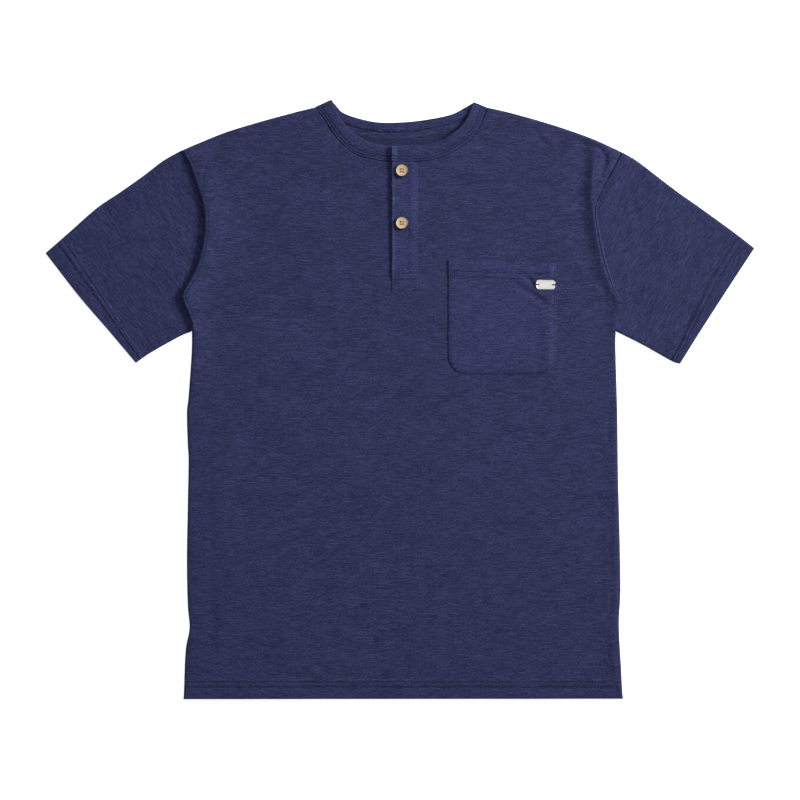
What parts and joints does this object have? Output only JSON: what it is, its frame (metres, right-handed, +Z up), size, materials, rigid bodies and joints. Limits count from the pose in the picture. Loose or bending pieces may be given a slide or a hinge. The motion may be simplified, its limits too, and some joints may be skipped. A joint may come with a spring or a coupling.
{
  "type": "short-sleeved henley t-shirt, laid flat",
  "caption": "Short-sleeved henley t-shirt laid flat, with a round neck band, a buttoned placket and a patch pocket.",
  "frame": {"origin": "on the ground under the middle of the laid garment's bounding box", "axes": "+X towards the wearer's left sleeve, +Y from the hem to the neck, +Z up out of the front"},
  "size_m": [0.851, 0.718, 0.008],
  "materials": {
    "jersey": "matte slub jersey",
    "button_wood": "turned, satin",
    "tag_metal": "stamped, satin"
  },
  "bodies": {
    "root": {"front": "jersey", "back": "jersey", "sleeve_right": "jersey", "sleeve_left": "jersey", "neck_band": "jersey", "placket_upper": "jersey", "placket_under": "jersey", "pocket": "jersey", "button_top": "button_wood", "button_lower": "button_wood", "label_tag": "tag_metal"}
  },
  "joints": []
}
